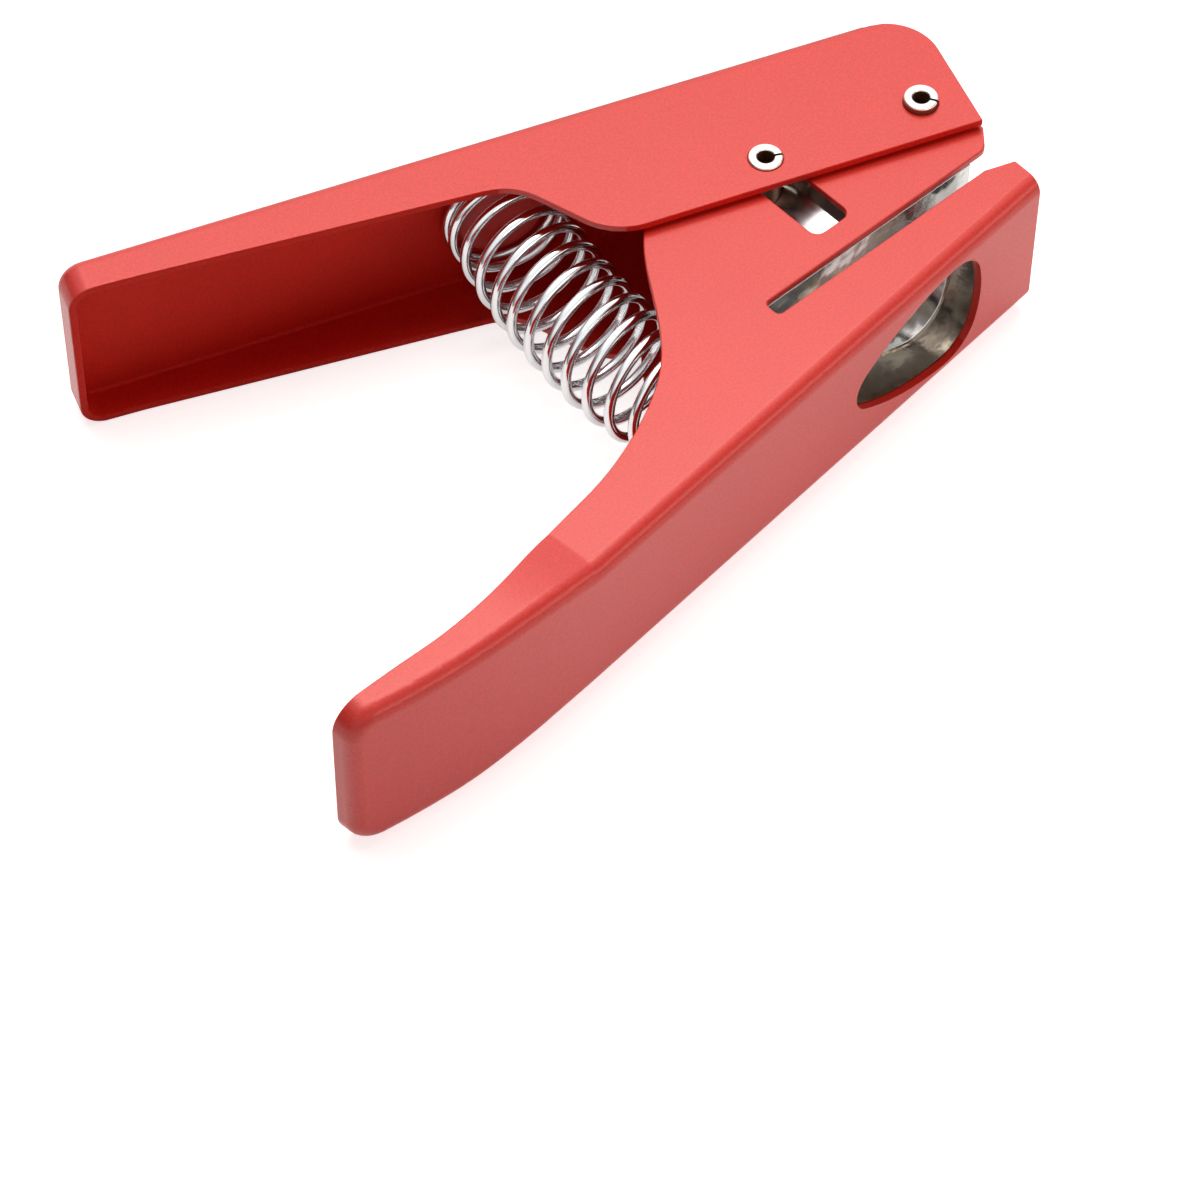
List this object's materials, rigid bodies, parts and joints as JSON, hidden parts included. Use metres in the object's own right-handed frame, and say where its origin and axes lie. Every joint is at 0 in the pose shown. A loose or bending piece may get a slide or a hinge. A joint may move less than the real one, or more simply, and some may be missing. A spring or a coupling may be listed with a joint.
{
  "type": "guitar pick punch",
  "caption": "Hand punch with a red lever and body, a return spring and a slotted jaw that cuts plectrums out of plastic sheet.",
  "frame": {"origin": "centre of the bounding box in plan, on the surface that the tool lies on", "axes": "+X along the base web towards the nose, +Y from the base web up to the lever, +Z along the hinge axis, up from the side that the tool lies on"},
  "size_m": [0.1899, 0.1188, 0.0394],
  "materials": {
    "red_paint": "satin",
    "die_steel": "ground",
    "pin_steel": "satin",
    "spring_wire": "polished",
    "black_oxide": "black oxide"
  },
  "bodies": {
    "frame": {"body_frame": "red_paint", "die_block": "die_steel", "die_plate": "die_steel", "punch_guide": "die_steel", "clamp_screws": "black_oxide", "locating_dowels": "pin_steel", "die_screws": "black_oxide", "pivot_sleeve": "pin_steel", "pivot_washer_near": "pin_steel", "pivot_washer_far": "pin_steel", "lower_spring_post": "red_paint", "main_spring": "spring_wire"},
    "lever": {"lever": "red_paint", "pivot_pin": "pin_steel", "drive_pin": "pin_steel", "drive_washer_near": "pin_steel", "drive_washer_far": "pin_steel", "upper_spring_post": "red_paint"},
    "punch": {"punch_carrier": "die_steel", "punch_cutter": "die_steel", "cutter_screws": "black_oxide"}
  },
  "joints": [
    {"name": "lever_hinge", "type": "hinge", "parent": "frame", "child": "lever", "pos_m": [0.08095, -0.03113, 0.01895], "axis": [0, 0, 1], "range_deg": [0, 26], "stiffness_Nm_per_rad": 5.5, "springref_deg": -6.88, "deforming": ["main_spring"]},
    {"name": "punch_slide", "type": "slide", "parent": "frame", "child": "punch", "axis": [-0.1011, -0.9949, 0], "range_m": [0, 0.01466]}
  ],
  "couplings": [
    {"joint": "punch_slide", "follows": "lever_hinge", "m_per_rad": 0.03229}
  ]
}
